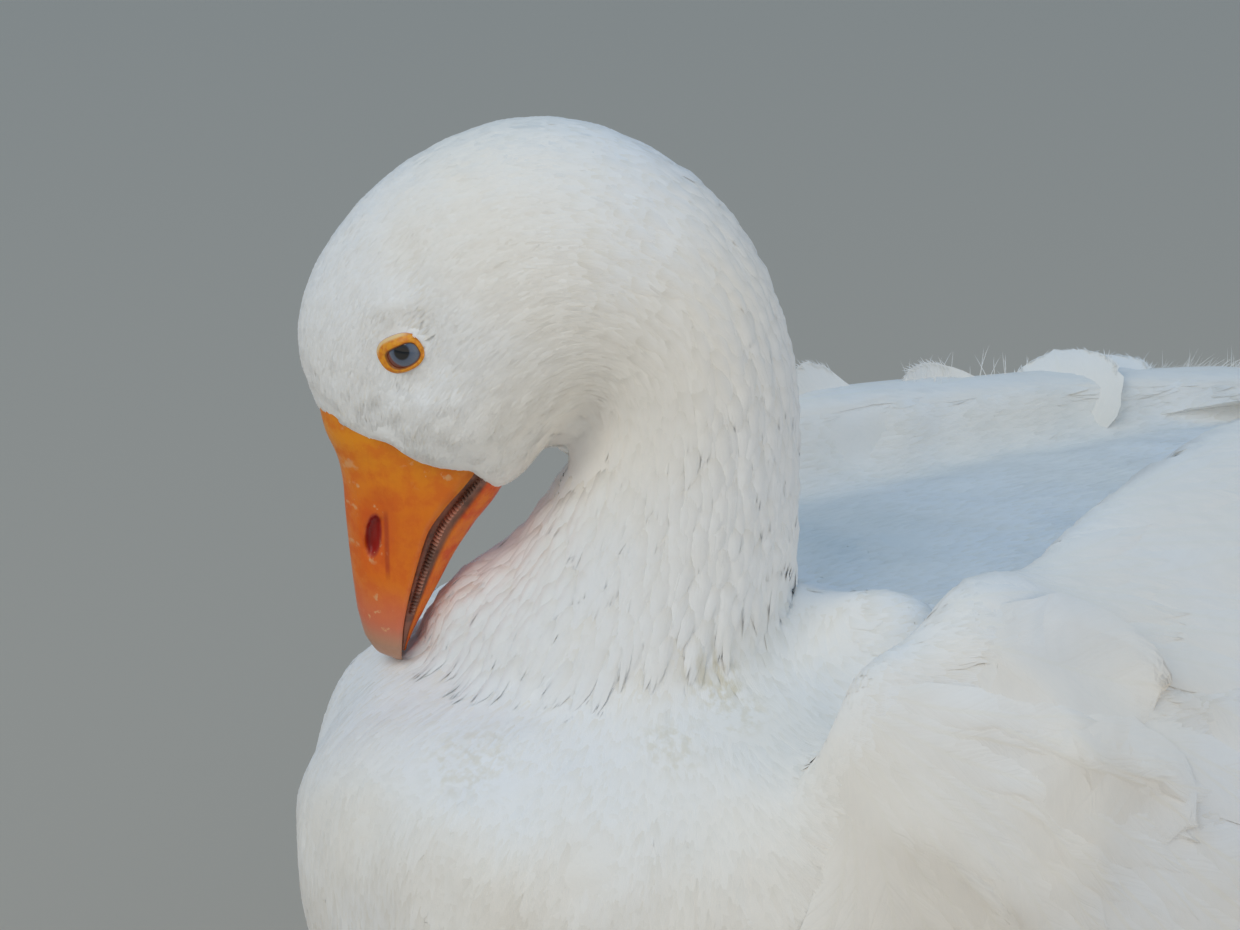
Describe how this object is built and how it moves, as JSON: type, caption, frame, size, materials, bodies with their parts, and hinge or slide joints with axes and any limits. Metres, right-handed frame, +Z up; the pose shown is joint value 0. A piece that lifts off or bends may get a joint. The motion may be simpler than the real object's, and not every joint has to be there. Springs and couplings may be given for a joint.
{
  "type": "domestic goose",
  "caption": "Still, life-size model of a white domestic goose at rest on its belly, neck arched and head bowed so that the orange bill meets the breast.",
  "frame": {"origin": "on the floor, under the middle of the goose's bounding box", "axes": "+Z up, the goose faces -Y, its left side is +X"},
  "size_m": [0.2764, 0.5801, 0.3406],
  "materials": {
    "plumage": "white feathers, soft and matt, faintly yellow at the neck's foot",
    "horn": "smooth orange horn with a pinkish nail, half gloss",
    "eye": "wet blue-grey eye, high gloss",
    "bare_skin": "orange scaly skin of the legs, webs and eyelids"
  },
  "bodies": {
    "root": {"head": "plumage", "eye_left": "eye", "eye_right": "eye", "bill_upper": "horn", "bill_lower": "horn", "neck_upper": "plumage", "neck_middle": "plumage", "neck_lower": "plumage", "trunk": "plumage", "tail": "plumage", "wing_left": "plumage", "primaries_left": "plumage", "shank_left": "bare_skin", "foot_left": "bare_skin", "wing_right": "plumage", "primaries_right": "plumage", "shank_right": "bare_skin", "foot_right": "bare_skin"}
  },
  "joints": []
}
